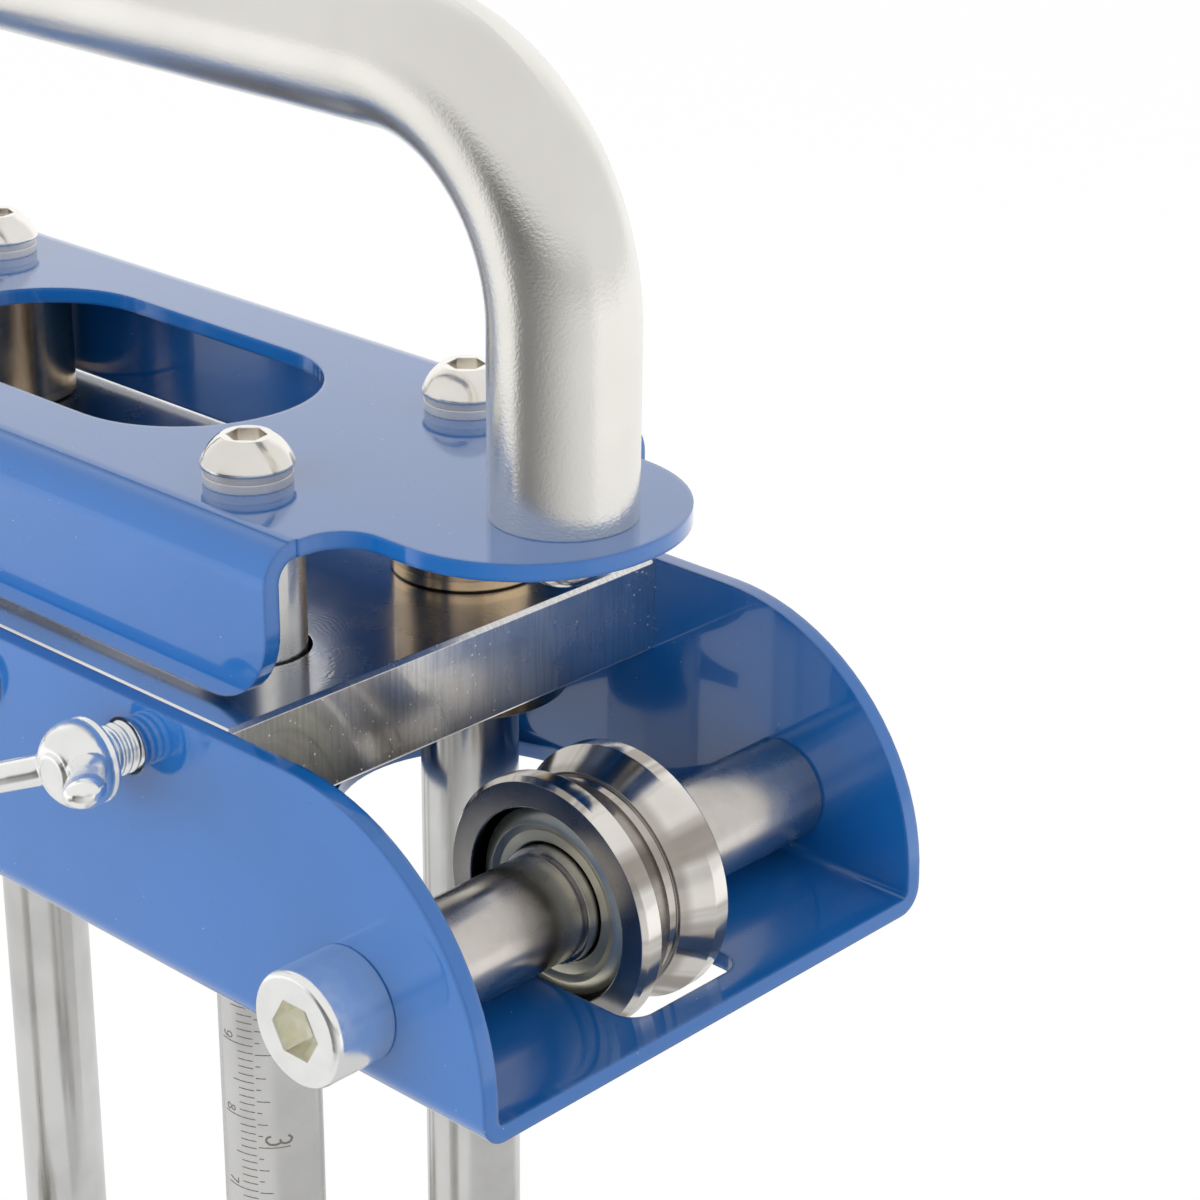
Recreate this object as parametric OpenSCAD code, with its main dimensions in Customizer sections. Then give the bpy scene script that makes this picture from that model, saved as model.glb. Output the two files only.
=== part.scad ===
// Hand-held sheet metal edge bender.
// Four rollers on the lower ends of four rods pinch the edge of a sheet, and the user rolls the
// tool along it by the handle. A carriage slides on the rods, and the grooved wheels at its ends
// ride on the sheet's edge, so its height sets how wide a lip is bent. Wing bolts lock it.
// X runs along the sheet's edge, Y across it with the wing bolts on -Y, and Z is up.
// The origin is on the ground, under the middle of the gap that the sheet goes through.

/* [Bending rollers] */
// Gap between the two rows of rollers, which the sheet fills
sheet_gap = 1.5; // [0.5:0.1:2.5]
// Wall of a roller round its ball bearing
roller_wall = 5; // [3:0.5:7]
// Height of the roller's lip over its ball bearing
lip_h = 1; // [0.6:0.1:3]
// Rounding of a roller's two rims
roller_edge_r = 2; // [0.5:0.1:3]
// Outer diameter of the ball bearing in a roller
bearing_d = 22; // [19:0.5:26]
// Height of the ball bearing in a roller
bearing_h = 7; // [5:0.5:9]
// Bore of the ball bearing in a roller
bearing_bore = 8; // [7:0.1:8.5]
// Overhang of the roller's lip over the ball bearing
lip_overhang = 2.5; // [1.5:0.1:3]

/* [Rods] */
// Diameter of the four rods
rod_d = 12; // [11:0.1:13]
// Distance from the rods' middles to the block's ends
rod_inset = 15; // [12:0.5:18]
// What the scale reads at the channel's lower edge, with the carriage at its top end
shown_depth = 105.6; // [60:0.2:140]
// Height of the scale's zero over the rollers
zero_lift = 6.5; // [2:0.1:20]
// Width of the bevel on a rod's upper end
rod_bevel = 0.6; // [0.2:0.1:1]

/* [Cover] */
// Room between the bushes and the cover's flanges
cover_room = 1.35; // [0.6:0.05:3]
// Height of the cover from its top to the flanges' lower edges
cover_h = 19.1; // [17.5:0.1:30]
// Thickness of the cover's sheet steel
cover_t = 2; // [1.5:0.1:2.5]
// Inner radius of the cover's two bends
cover_bend_r = 2.6; // [1:0.1:3]
// How far the cover's top reaches past the block's ends
plate_overhang = 2.1; // [1:0.1:6]
// How far the flanges' ends stay behind the top's ends
flange_setback = 0.3; // [0.1:0.1:4]
// Rounding of the flanges' lower corners
flange_corner_r = 9.5; // [4:0.5:12]
// How far the tongues that carry the handle reach past the top's ends
tongue_reach = 26.7; // [24:0.1:32]
// Width of a tongue
tongue_w = 36.4; // [30:0.2:38]
// Width of the short flat at a tongue's end, between its roundings
tongue_flat_w = 1.2; // [0.4:0.1:12]
// Hollow rounding between a tongue and the plate's end
tongue_fillet_r = 5.3; // [2:0.1:6]
// Length of the opening in the cover
slot_l = 62; // [45:1:64]
// Width of the opening in the cover
slot_w = 32; // [20:1:36]
// Gap left between the carriage and the cover at the carriage's top end
stop_gap = 0.7; // [0.5:0.1:2]

/* [Handle] */
// Diameter of the handle's bar
handle_d = 16.4; // [12:0.2:18]
// Distance from the middles of the handle's legs to the tongues' ends
leg_inset = 12.1; // [10:0.1:16]
// Room for the hand between the cover and the grip
handle_room = 37.5; // [34:0.1:60]
// Radius of the handle's bends, at the middle of the bar
handle_bend_r = 25; // [18:0.5:30]
// Depth of the threaded holes in the handle's legs
handle_hole_depth = 16; // [13:0.5:20]

/* [Carriage block] */
// Length of the block
block_l = 120; // [90:1:150]
// Width of the block
block_w = 67; // [60:0.5:80]
// Height of the block
block_h = 12; // [11:0.5:14]
// Bevel along the block's edges
block_bevel = 0.5; // [0.2:0.1:1]
// Room round the two scale rods in the block's holes
rod_room = 0.5; // [0.4:0.1:1]

/* [Carriage channel] */
// How far the channel reaches past the block's ends
channel_overhang = 40; // [38:0.5:60]
// Height of the channel
channel_h = 33; // [32:0.5:36]
// Thickness of the channel's sheet steel
channel_t = 2; // [1.5:0.1:3]
// Inner radius of the channel's two bends
channel_bend_r = 1; // [0.5:0.1:1.3]
// Height of the straight foot under the quarter circle at each end of the walls
wall_foot_h = 4; // [2:0.5:12]
// Room round the rods in the channel's floor
floor_room = 10.5; // [8:0.5:10.5]
// Width of the openings for the grooved wheels in the channel's floor
window_w = 18; // [16:0.5:20]
// Width of the strip that closes the floor at each end
window_web = 4; // [2:0.5:6]
// Rounding of the window's corners
window_corner_r = 3; // [1:0.5:5]

/* [Grooved wheels] */
// Width of a grooved wheel
wheel_w = 14; // [12:0.5:14.5]
// Distance from the wheels' axles to the channel's ends
axle_inset = 19.2; // [17:0.1:21]
// Height of the axles over the channel's floor
axle_rise = 7.6; // [7.3:0.1:9]
// Depth of the V groove
groove_depth = 3.4; // [2.5:0.1:3.8]
// Width of the flat rims beside the groove
rim_w = 1.2; // [0.8:0.1:2]
// Width of the narrow channel at the bottom of the groove
relief_w = 0.9; // [0.5:0.1:1.5]
// Depth of the narrow channel at the bottom of the groove
relief_depth = 0.4; // [0.2:0.1:0.6]
// Bevel on the wheel's outer edges
wheel_bevel = 0.4; // [0.2:0.1:0.6]
// Width of the dark recess in the wheel's faces, outside the shields
face_recess_w = 2.2; // [1:0.1:3]
// How far the groove's floor lies outside the recess
groove_web = 0.2; // [0.1:0.1:2]
// Depth of the dark recess in the wheel's faces
face_recess_depth = 0.6; // [0.3:0.1:1]
// Width of the shields in the wheel's faces
shield_w = 2.4; // [1.5:0.1:4]
// Wall of the wheel's inner ring
inner_ring_wall = 2.8; // [1.5:0.1:4]
// Thickness of the shields' sheet
shield_t = 0.5; // [0.3:0.1:0.8]

/* [Axles] */
// Diameter of the axle bolts
axle_d = 8; // [7:0.1:8.5]
// Diameter of the spacer sleeves
sleeve_d = 12.5; // [11:0.1:13]
// Diameter of the axle bolts' heads
axle_head_d = 13; // [12.5:0.1:14]
// Height of the axle bolts' heads
axle_head_h = 8; // [7:0.1:8.5]
// Width of the hexagon socket in the axle bolts' heads
axle_key = 6; // [5:0.5:6.5]
// Depth of the hexagon socket in the axle bolts' heads
axle_key_depth = 4; // [3:0.5:5]
// Diameter of the washers under the nuts
axle_washer_d = 16; // [14.5:0.5:17]
// Thickness of the washers under the nuts
axle_washer_t = 1.6; // [1:0.1:2]
// Width of the nuts over their flats
nut_w = 13; // [12:0.5:14]
// Height of the nuts
nut_h = 6.5; // [5:0.1:8]
// Length of bolt that shows past the nuts
bolt_end = 1; // [0.5:0.1:3]

/* [Bushes] */
// Outer diameter of the two bushes
bush_d = 18.4; // [16:0.1:19]
// Room between the bushes and the cover's top at the carriage's top end
bush_room = 2.8; // [1:0.1:6]
// Diameter of a bush's flange
bush_flange_d = 24; // [20:0.5:26]
// Thickness of a bush's flange
bush_flange_t = 3; // [2:0.5:4]

/* [Screws] */
// Diameter of the screws in the rods and in the handle
screw_d = 6; // [5:0.1:6.5]
// Diameter of their button heads
screw_head_d = 10.5; // [10:0.1:11]
// Height of their button heads
screw_head_h = 3.3; // [2.8:0.1:3.6]
// Width of the hexagon sockets in their heads
screw_key = 4; // [3:0.5:4.5]
// Length of the screws in the rods and in the handle
screw_l = 16; // [14:0.5:20]
// Angle of the sockets in the rods' screws
screw_turn = 43; // [0:1:60]
// Diameter of the flat washers
washer_d = 10; // [9.5:0.1:12]
// Thickness of the flat washers
washer_t = 1.1; // [0.8:0.1:1.6]
// Diameter of the spring washers
spring_washer_d = 9.9; // [9:0.1:10.4]
// Thickness of the spring washers
spring_washer_t = 0.9; // [0.7:0.1:1.6]
// Width of the split in the spring washers
spring_split = 0.8; // [0.5:0.1:1.2]
// Diameter of the screws between the channel and the block
channel_screw_d = 5; // [4:0.1:5.5]
// Distance of the channel's screws from the rods, along a wall
channel_screw_inset = 27; // [20:1:36]
// Diameter of the channel's screw heads
channel_head_d = 9.5; // [9:0.1:10]
// Height of the channel's screw heads
channel_head_h = 2.75; // [2.4:0.05:3]
// Width of the hexagon sockets in the channel's screws
channel_key = 3; // [2.5:0.5:3.5]
// Length of the channel's screws
channel_screw_l = 12; // [8:0.5:14]
// Diameter of the screws that hold the rollers
end_screw_d = 4; // [3.5:0.1:4.5]
// Diameter of the heads that hold the rollers
end_head_d = 7.6; // [7:0.1:8]
// Height of the heads that hold the rollers
end_head_h = 2.2; // [2:0.1:2.4]
// Width of the hexagon sockets under the rollers
end_key = 2.5; // [2:0.5:3]
// Length of the screws that hold the rollers
end_screw_l = 12; // [8:0.5:16]
// Diameter of the washers under the rollers
end_washer_d = 11.5; // [10.5:0.1:11.8]
// Thickness of the washers under the rollers
end_washer_t = 1; // [0.8:0.1:1.1]
// Height of the roller screws' heads over the ground
end_lift = 0.8; // [0.5:0.1:1]

/* [Wing bolts] */
// Diameter of the wing bolts' threads
wing_screw_d = 6; // [5:0.1:6.5]
// Length of thread that shows between the wall and the hub
wing_standoff = 4.3; // [3:0.1:8]
// Diameter of the wing bolts' hubs
wing_hub_d = 9.9; // [9:0.1:12]
// Height of the wing bolts' hubs
wing_hub_h = 5.5; // [4.5:0.5:8]
// Width over the tips of the two wings
wings_w = 32; // [26:0.5:34]
// Height of the wings' tips over the foot of the hub
wing_h = 14.3; // [12:0.1:20]
// Thickness of the wings
wing_t = 3.1; // [2.6:0.1:4]
// Width of the wings at their tips
wing_w = 4.7; // [4.2:0.1:6]
// Angle by which the wings stand away from the level
wing_turn = 18; // [0:1:90]

/* [Hidden] */
NODES = ["top_cover", "handle_bar", "handle_screws", "handle_washers",
    "handle_spring_washers", "rod_screws", "rod_spring_washers", "rod_washers",
    "scale_rod_right", "scale_rod_left", "guide_rod_right", "guide_rod_left",
    "roller_inner_rings", "roller_washers", "roller_screws",
    "front_roller_right", "front_roller_left", "back_roller_right", "back_roller_left",
    "front_bearing_right", "front_bearing_left", "back_bearing_right", "back_bearing_left",
    "carriage_block", "carriage_channel", "bush_right", "bush_left", "channel_screws",
    "axle_bolt_right", "axle_bolt_left", "axle_sleeves_right", "axle_sleeves_left",
    "axle_washers", "axle_nuts", "wheel_inner_ring_right", "wheel_inner_ring_left",
    "groove_wheel_right", "groove_wheel_left", "wheel_shields_right", "wheel_shields_left",
    "wing_bolt_right", "wing_bolt_left"];
node = "all";
$fn = 96;

// Clearances: of a cut past a face, a pressed fit, a thread in its hole, a sliding fit,
// a turning part beside a fixed one, and a screw in a plain hole
cut = 1;
press_gap = 0.02;
thread_gap = 0.05;
slide_gap = 0.05;
turn_gap = 0.15;
hole_gap = 0.3;

// Colours
paint_blue = "royalblue";
bright_steel = "gainsboro";
ground_steel = "darkgray";
zinc = "lightgray";
bronze = "peru";

// Heights, from the ground up
bearing_z = end_lift + end_head_h + end_washer_t;
bearing_top_z = bearing_z + bearing_h;
roller_h = bearing_top_z + lip_h;
channel_z = roller_h + zero_lift + shown_depth;
block_top_z = channel_z + channel_h;
block_z = block_top_z - block_h;
block_mid_z = block_top_z - block_h / 2;
axle_z = channel_z + channel_t + axle_rise;
cover_z = block_top_z + stop_gap;
cover_top_z = cover_z + cover_h;
plate_z = cover_top_z - cover_t;
grip_z = cover_top_z + handle_room + handle_d / 2;
elbow_z = grip_z - handle_bend_r;

// Places along and across the sheet
roller_d = bearing_d + 2 * roller_wall;
rod_x = block_l / 2 - rod_inset;
rod_y = (roller_d + sheet_gap) / 2;
plate_l = block_l + 2 * plate_overhang;
flange_l = plate_l - 2 * flange_setback;
tongue_l = plate_l + 2 * tongue_reach;
leg_x = tongue_l / 2 - leg_inset;
cover_w = 2 * (rod_y + bush_d / 2 + cover_room + cover_t);
channel_l = block_l + 2 * channel_overhang;
axle_x = channel_l / 2 - axle_inset;
channel_w = block_w + 2 * channel_t;
wall_y = channel_w / 2;
inner_y = block_w / 2;
channel_screw_x = rod_x - channel_screw_inset;

// Sizes that follow from the ones above
tongue_corner_r = (tongue_w - tongue_flat_w) / 2;
wall_end_r = channel_h - wall_foot_h;
bush_top_z = plate_z - bush_room;
bush_l = bush_top_z - block_z + bush_flange_t;
bearing_ring_share = 0.15;
race_share = 0.55;
bearing_shield_share = 0.07;
bearing_race_d = bearing_d * (1 - bearing_ring_share);
bearing_inner_d = bearing_d * race_share;
bearing_shield_t = bearing_h * bearing_shield_share;
lip_d = bearing_d - 2 * lip_overhang;
recess_gap = 0.25;
inner_ring_d = axle_d + 2 * inner_ring_wall;
shield_d = inner_ring_d + 2 * shield_w;
face_recess_r = shield_d / 2 + face_recess_w;
groove_r = face_recess_r + groove_web;
wheel_d = 2 * (groove_r + groove_depth);
groove_w = wheel_w - 2 * rim_w;
head_rim_share = 0.1;
head_flat_share = 0.55;
socket_share = 0.62;
cap_edge_share = 0.1;
cap_foot_share = 0.25;
collar_share = 0.14;
root_share = 0.24;

// Whether a node is drawn
function shown(name) = node == "all" || node == name;

// The points of a half section, mirrored in its middle line and in reverse order
function mirrored_points(points) =
    [for (i = [len(points) - 1:-1:0]) [points[i][0], -points[i][1]]];

// A child at the same place on the right and, mirrored, on the left
module right_and_left() {
    children();
    mirror([1, 0, 0]) children();
}

// A child at each of the four rods
module at_rods() {
    for (x = [-rod_x, rod_x], y = [-rod_y, rod_y]) {
        translate([x, y, 0]) children();
    }
}

// A flat ring that stands on z = 0
module ring(outer_d, bore_d, height) {
    difference() {
        cylinder(h = height, d = outer_d);
        translate([0, 0, -cut]) cylinder(h = height + 2 * cut, d = bore_d);
    }
}

// Half of a disc's section with rounded outer corners
module rounded_half_section(radius, height, bottom_r, top_r) {
    inner_r = radius - max(bottom_r, top_r);
    square([inner_r, height]);
    translate([0, bottom_r]) square([radius, height - bottom_r - top_r]);
    square([radius - bottom_r, height / 2]);
    translate([0, height / 2]) square([radius - top_r, height / 2]);
    translate([radius - bottom_r, bottom_r]) circle(r = bottom_r);
    translate([radius - top_r, height - top_r]) circle(r = top_r);
}

// A hexagon prism, sized over its flats
module hexagon(over_flats, height) {
    cylinder(h = height, d = over_flats / cos(30), $fn = 6);
}

// A screw with its shank below z = 0, and above it a head with a domed side and a flat top
module button_screw(shank_d, head_d, head_h, key, length) {
    rim_h = head_h * head_rim_share;
    flat_r = head_d * head_flat_share / 2;
    dome_z = (pow(head_h, 2) + pow(flat_r, 2) - pow(rim_h, 2) - pow(head_d / 2, 2))
        / (2 * (head_h - rim_h));
    dome_r = norm([head_d / 2, rim_h - dome_z]);
    socket = head_h * socket_share;
    difference() {
        union() {
            intersection() {
                cylinder(h = head_h, d = head_d);
                translate([0, 0, dome_z]) sphere(r = dome_r);
            }
            translate([0, 0, -length]) cylinder(h = length + rim_h, d = shank_d);
        }
        translate([0, 0, head_h - socket]) hexagon(key, socket + cut);
    }
}

// The outline of the cover's flat sheet seen from above
module cover_outline() {
    step = (plate_l - flange_l) / 2;
    step_w = cover_w - 2 * (cover_bend_r + cover_t);
    square([flange_l, cover_w], center = true);
    square([plate_l, step_w - 2 * step], center = true);
    for (x = [-1, 1], y = [-1, 1]) {
        translate([x * (plate_l / 2 - step), y * (step_w / 2 - step)]) circle(r = step);
        translate([x * (tongue_l / 2 - tongue_corner_r), y * (tongue_w / 2 - tongue_corner_r)])
            circle(r = tongue_corner_r);
    }
    square([tongue_l, tongue_w - 2 * tongue_corner_r], center = true);
    square([tongue_l - 2 * tongue_corner_r, tongue_w], center = true);
    for (x = [0, 1], y = [0, 1]) {
        mirror([x, 0]) mirror([0, y]) translate([plate_l / 2, tongue_w / 2]) difference() {
            translate([-cut, -cut]) square(tongue_fillet_r + cut);
            translate([tongue_fillet_r, tongue_fillet_r]) circle(r = tongue_fillet_r);
        }
    }
}

// A downward U with rounded corners, its top at y = height
module u_section(width, height, corner_r) {
    square_h = height - corner_r;
    translate([-width / 2, 0]) square([width, square_h]);
    translate([-width / 2 + corner_r, 0]) square([width - 2 * corner_r, height]);
    for (x = [-1, 1]) translate([x * (width / 2 - corner_r), square_h]) circle(r = corner_r);
}

// An extrusion along X, centred, of a section whose x and y become Y and Z
module along_x(length) {
    translate([-length / 2, 0, 0]) rotate([90, 0, 90]) linear_extrude(height = length) children();
}

// What a rounded corner takes away, run across the part, with the corner at the origin
module corner_waste(radius, width) {
    difference() {
        translate([-radius, -width / 2, -cut]) cube([radius + cut, width, radius + cut]);
        translate([-radius, 0, radius]) rotate([90, 0, 0])
            cylinder(h = width + 2 * cut, r = radius, center = true);
    }
}

module top_cover() {
    color(paint_blue) difference() {
        intersection() {
            translate([0, 0, cover_z]) linear_extrude(height = cover_h) cover_outline();
            translate([0, 0, cover_z]) along_x(tongue_l + 2 * cut) difference() {
                u_section(cover_w, cover_h, cover_bend_r + cover_t);
                translate([0, -cut])
                    u_section(cover_w - 2 * cover_t, cover_h - cover_t + cut, cover_bend_r);
            }
        }
        right_and_left() translate([flange_l / 2, 0, cover_z])
            corner_waste(flange_corner_r, cover_w + 2 * cut);
        translate([0, 0, plate_z - cut]) linear_extrude(height = cover_t + 2 * cut) {
            square([slot_l - slot_w, slot_w], center = true);
            for (x = [-1, 1]) translate([x * (slot_l - slot_w) / 2, 0]) circle(d = slot_w);
        }
        at_rods() translate([0, 0, plate_z - cut])
            cylinder(h = cover_t + 2 * cut, d = screw_d + 2 * hole_gap);
        right_and_left() translate([leg_x, 0, plate_z - cut])
            cylinder(h = cover_t + 2 * cut, d = screw_d + 2 * hole_gap);
    }
}

module handle_bar() {
    grip_l = 2 * (leg_x - handle_bend_r);
    color(bright_steel) difference() {
        union() {
            right_and_left() {
                translate([leg_x, 0, cover_top_z])
                    cylinder(h = elbow_z - cover_top_z, d = handle_d);
                translate([leg_x - handle_bend_r, 0, elbow_z]) rotate([90, 0, 0])
                    rotate_extrude(angle = 90) translate([handle_bend_r, 0]) circle(d = handle_d);
            }
            translate([0, 0, grip_z]) rotate([0, 90, 0])
                cylinder(h = grip_l, d = handle_d, center = true);
        }
        right_and_left() translate([leg_x, 0, cover_top_z - cut])
            cylinder(h = handle_hole_depth + cut, d = screw_d + 2 * thread_gap);
    }
}

// A spring washer that stands on z = 0, with its split on the left
module spring_washer() {
    difference() {
        ring(spring_washer_d, screw_d + 2 * hole_gap, spring_washer_t);
        translate([-spring_washer_d, -spring_split / 2, -cut])
            cube([spring_washer_d, spring_split, spring_washer_t + 2 * cut]);
    }
}

module handle_screws() {
    color(bright_steel) right_and_left()
        translate([leg_x, 0, plate_z - washer_t - spring_washer_t]) rotate([180, 0, 0])
        button_screw(screw_d, screw_head_d, screw_head_h, screw_key, screw_l);
}

module handle_washers() {
    color(bright_steel) right_and_left() translate([leg_x, 0, plate_z - washer_t])
        ring(washer_d, screw_d + 2 * hole_gap, washer_t);
}

module handle_spring_washers() {
    color(ground_steel) right_and_left()
        translate([leg_x, 0, plate_z - washer_t - spring_washer_t]) spring_washer();
}

module rod_screws() {
    color(bright_steel) at_rods() translate([0, 0, cover_top_z + washer_t + spring_washer_t])
        rotate([0, 0, screw_turn])
        button_screw(screw_d, screw_head_d, screw_head_h, screw_key, screw_l);
}

module rod_washers() {
    color(bright_steel) at_rods() translate([0, 0, cover_top_z])
        ring(washer_d, screw_d + 2 * hole_gap, washer_t);
}

module rod_spring_washers() {
    color(ground_steel) at_rods() translate([0, 0, cover_top_z + washer_t]) spring_washer();
}

// A rod: a journal for the bearing, a shoulder over it, and a threaded hole in each end
module rod(x, y) {
    hole_d = screw_d + 2 * thread_gap;
    hole_depth = screw_l - cover_t - washer_t - spring_washer_t + cut;
    end_hole_depth = end_screw_l - end_washer_t + cut;
    body_h = plate_z - bearing_top_z;
    color(bright_steel) translate([x, y, 0]) difference() {
        union() {
            translate([0, 0, bearing_z]) cylinder(h = bearing_h + cut, d = bearing_bore);
            translate([0, 0, bearing_top_z]) cylinder(h = body_h - rod_bevel, d = rod_d);
            translate([0, 0, plate_z - rod_bevel])
                cylinder(h = rod_bevel, d1 = rod_d, d2 = rod_d - 2 * rod_bevel);
        }
        translate([0, 0, plate_z - hole_depth]) cylinder(h = hole_depth + cut, d = hole_d);
        translate([0, 0, bearing_z - cut])
            cylinder(h = end_hole_depth + cut, d = end_screw_d + 2 * thread_gap);
    }
}

module roller_inner_rings() {
    color(ground_steel) at_rods() translate([0, 0, bearing_z])
        ring(bearing_inner_d, bearing_bore + 2 * press_gap, bearing_h);
}

module roller_washers() {
    color(zinc) at_rods() translate([0, 0, bearing_z - end_washer_t])
        ring(end_washer_d, end_screw_d + 2 * hole_gap, end_washer_t);
}

module roller_screws() {
    color(bright_steel) at_rods() translate([0, 0, bearing_z - end_washer_t]) rotate([180, 0, 0])
        button_screw(end_screw_d, end_head_d, end_head_h, end_key, end_screw_l);
}

// A bending roller: rounded rims, a seat for the bearing and a lip over it
module bending_roller(x, y) {
    color(ground_steel) translate([x, y, 0]) difference() {
        rotate_extrude()
            rounded_half_section(roller_d / 2, roller_h, roller_edge_r, roller_edge_r);
        translate([0, 0, bearing_z]) cylinder(h = bearing_h, d = bearing_d);
        translate([0, 0, -cut]) cylinder(h = bearing_z + 2 * cut, d = bearing_d + 2 * recess_gap);
        translate([0, 0, bearing_z]) cylinder(h = roller_h, d = lip_d);
    }
}

// The turning half of a roller's bearing: its outer ring and two shields
module roller_bearing(x, y) {
    shield_bore = bearing_inner_d + 2 * turn_gap;
    color(zinc) translate([x, y, bearing_z]) difference() {
        cylinder(h = bearing_h, d = bearing_d - 2 * press_gap);
        translate([0, 0, bearing_shield_t])
            cylinder(h = bearing_h - 2 * bearing_shield_t, d = bearing_race_d);
        translate([0, 0, -cut]) cylinder(h = bearing_h + 2 * cut, d = shield_bore);
    }
}

module carriage_block() {
    near_reach = inner_y - rod_y;
    color(bright_steel) difference() {
        intersection() {
            translate([-block_l / 2, -block_w / 2, block_z]) cube([block_l, block_w, block_h]);
            along_x(block_l) translate([0, block_z]) polygon([
                [-inner_y + block_bevel, 0], [inner_y - block_bevel, 0],
                [inner_y, block_bevel], [inner_y, block_h - block_bevel],
                [inner_y - block_bevel, block_h], [-inner_y + block_bevel, block_h],
                [-inner_y, block_h - block_bevel], [-inner_y, block_bevel]
            ]);
            translate([0, inner_y + cut, block_z]) rotate([90, 0, 0])
                linear_extrude(height = block_w + 2 * cut) polygon([
                    [-block_l / 2 + block_bevel, 0], [block_l / 2 - block_bevel, 0],
                    [block_l / 2, block_bevel], [block_l / 2, block_h - block_bevel],
                    [block_l / 2 - block_bevel, block_h], [-block_l / 2 + block_bevel, block_h],
                    [-block_l / 2, block_h - block_bevel], [-block_l / 2, block_bevel]
                ]);
        }
        right_and_left() {
            translate([rod_x, rod_y, block_z - cut]) cylinder(h = block_h + 2 * cut, d = bush_d);
            translate([rod_x, -rod_y, block_z - cut])
                cylinder(h = block_h + 2 * cut, d = rod_d + 2 * rod_room);
            translate([rod_x, -rod_y, block_mid_z]) rotate([90, 0, 0])
                cylinder(h = near_reach + cut, d = wing_screw_d + 2 * thread_gap);
            for (side = [-1, 1]) {
                translate([channel_screw_x, side * inner_y, block_mid_z]) rotate([90, 0, 0])
                    cylinder(h = 2 * channel_screw_l, d = channel_screw_d + 2 * thread_gap,
                        center = true);
            }
        }
    }
}

module carriage_channel() {
    outer_bend_r = channel_bend_r + channel_t;
    window_end_x = channel_l / 2 - window_web;
    window_r = rod_d / 2 + floor_room;
    color(paint_blue) difference() {
        translate([0, 0, block_top_z]) mirror([0, 0, 1]) along_x(channel_l) difference() {
            u_section(channel_w, channel_h, outer_bend_r);
            translate([0, -cut])
                u_section(block_w, channel_h - channel_t + cut, channel_bend_r);
        }
        right_and_left() {
            translate([channel_l / 2, 0, block_top_z]) mirror([0, 0, 1])
                corner_waste(wall_end_r, channel_w + 2 * cut);
            for (y = [-rod_y, rod_y]) {
                translate([rod_x, y, channel_z - cut])
                    cylinder(h = channel_t + 2 * cut, r = window_r);
            }
            translate([0, 0, channel_z - cut]) linear_extrude(height = channel_t + 2 * cut) {
                translate([rod_x, -window_w / 2])
                    square([window_end_x - rod_x - window_corner_r, window_w]);
                translate([rod_x, -window_w / 2 + window_corner_r])
                    square([window_end_x - rod_x, window_w - 2 * window_corner_r]);
                for (y = [-1, 1]) {
                    translate([window_end_x - window_corner_r,
                        y * (window_w / 2 - window_corner_r)]) circle(r = window_corner_r);
                }
            }
            translate([axle_x, 0, axle_z]) rotate([90, 0, 0])
                cylinder(h = channel_w + 2 * cut, d = axle_d + 2 * hole_gap, center = true);
            translate([channel_screw_x, 0, block_mid_z]) rotate([90, 0, 0])
                cylinder(h = channel_w + 2 * cut, d = channel_screw_d + 2 * hole_gap,
                    center = true);
            translate([rod_x, -inner_y + cut, block_mid_z]) rotate([90, 0, 0])
                cylinder(h = channel_t + 2 * cut, d = wing_screw_d + 2 * hole_gap);
        }
    }
}

// A flanged bush, pressed into the block from below
module bush(x) {
    bore_d = rod_d + 2 * slide_gap;
    color(bronze) translate([x, rod_y, block_z - bush_flange_t]) difference() {
        union() {
            cylinder(h = bush_flange_t, d = bush_flange_d);
            cylinder(h = bush_l, d = bush_d - 2 * press_gap);
        }
        translate([0, 0, -cut]) cylinder(h = bush_l + 2 * cut, d = bore_d);
    }
}

module channel_screws() {
    color(bright_steel) right_and_left() {
        for (turn = [0, 180]) {
            rotate([0, 0, turn]) translate([channel_screw_x, -wall_y, block_mid_z])
                rotate([90, 0, 0]) button_screw(channel_screw_d, channel_head_d, channel_head_h,
                    channel_key, channel_screw_l);
        }
    }
}

// A socket cap screw from the near wall to the far one
module axle_bolt(x) {
    shank_l = channel_w + axle_washer_t + nut_h + bolt_end;
    edge_r = axle_head_h * cap_edge_share;
    color(zinc) translate([x, -wall_y, axle_z]) rotate([90, 0, 0]) difference() {
        union() {
            rotate_extrude() rounded_half_section(axle_head_d / 2, axle_head_h,
                edge_r * cap_foot_share, edge_r);
            translate([0, 0, -shank_l]) cylinder(h = shank_l + cut, d = axle_d);
        }
        translate([0, 0, axle_head_h - axle_key_depth]) hexagon(axle_key, axle_key_depth + cut);
    }
}

// The two spacer sleeves of an axle, between the wheel and the walls
module axle_sleeves(x) {
    sleeve_l = inner_y - wheel_w / 2;
    color(ground_steel) for (side = [-1, 1]) {
        translate([x, side * (inner_y + wheel_w / 2) / 2, axle_z]) rotate([90, 0, 0])
            translate([0, 0, -sleeve_l / 2])
            ring(sleeve_d, axle_d + 2 * hole_gap, sleeve_l);
    }
}

module axle_washers() {
    color(zinc) right_and_left() translate([axle_x, wall_y, axle_z]) rotate([-90, 0, 0])
        ring(axle_washer_d, axle_d + 2 * hole_gap, axle_washer_t);
}

module axle_nuts() {
    color(zinc) right_and_left() translate([axle_x, wall_y + axle_washer_t, axle_z])
        rotate([-90, 0, 0]) difference() {
            hexagon(nut_w, nut_h);
            translate([0, 0, -cut]) cylinder(h = nut_h + 2 * cut, d = axle_d + 2 * thread_gap);
        }
}

module wheel_inner_ring(x) {
    color(ground_steel) translate([x, wheel_w / 2, axle_z]) rotate([90, 0, 0])
        ring(inner_ring_d, axle_d + 2 * press_gap, wheel_w);
}

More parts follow.
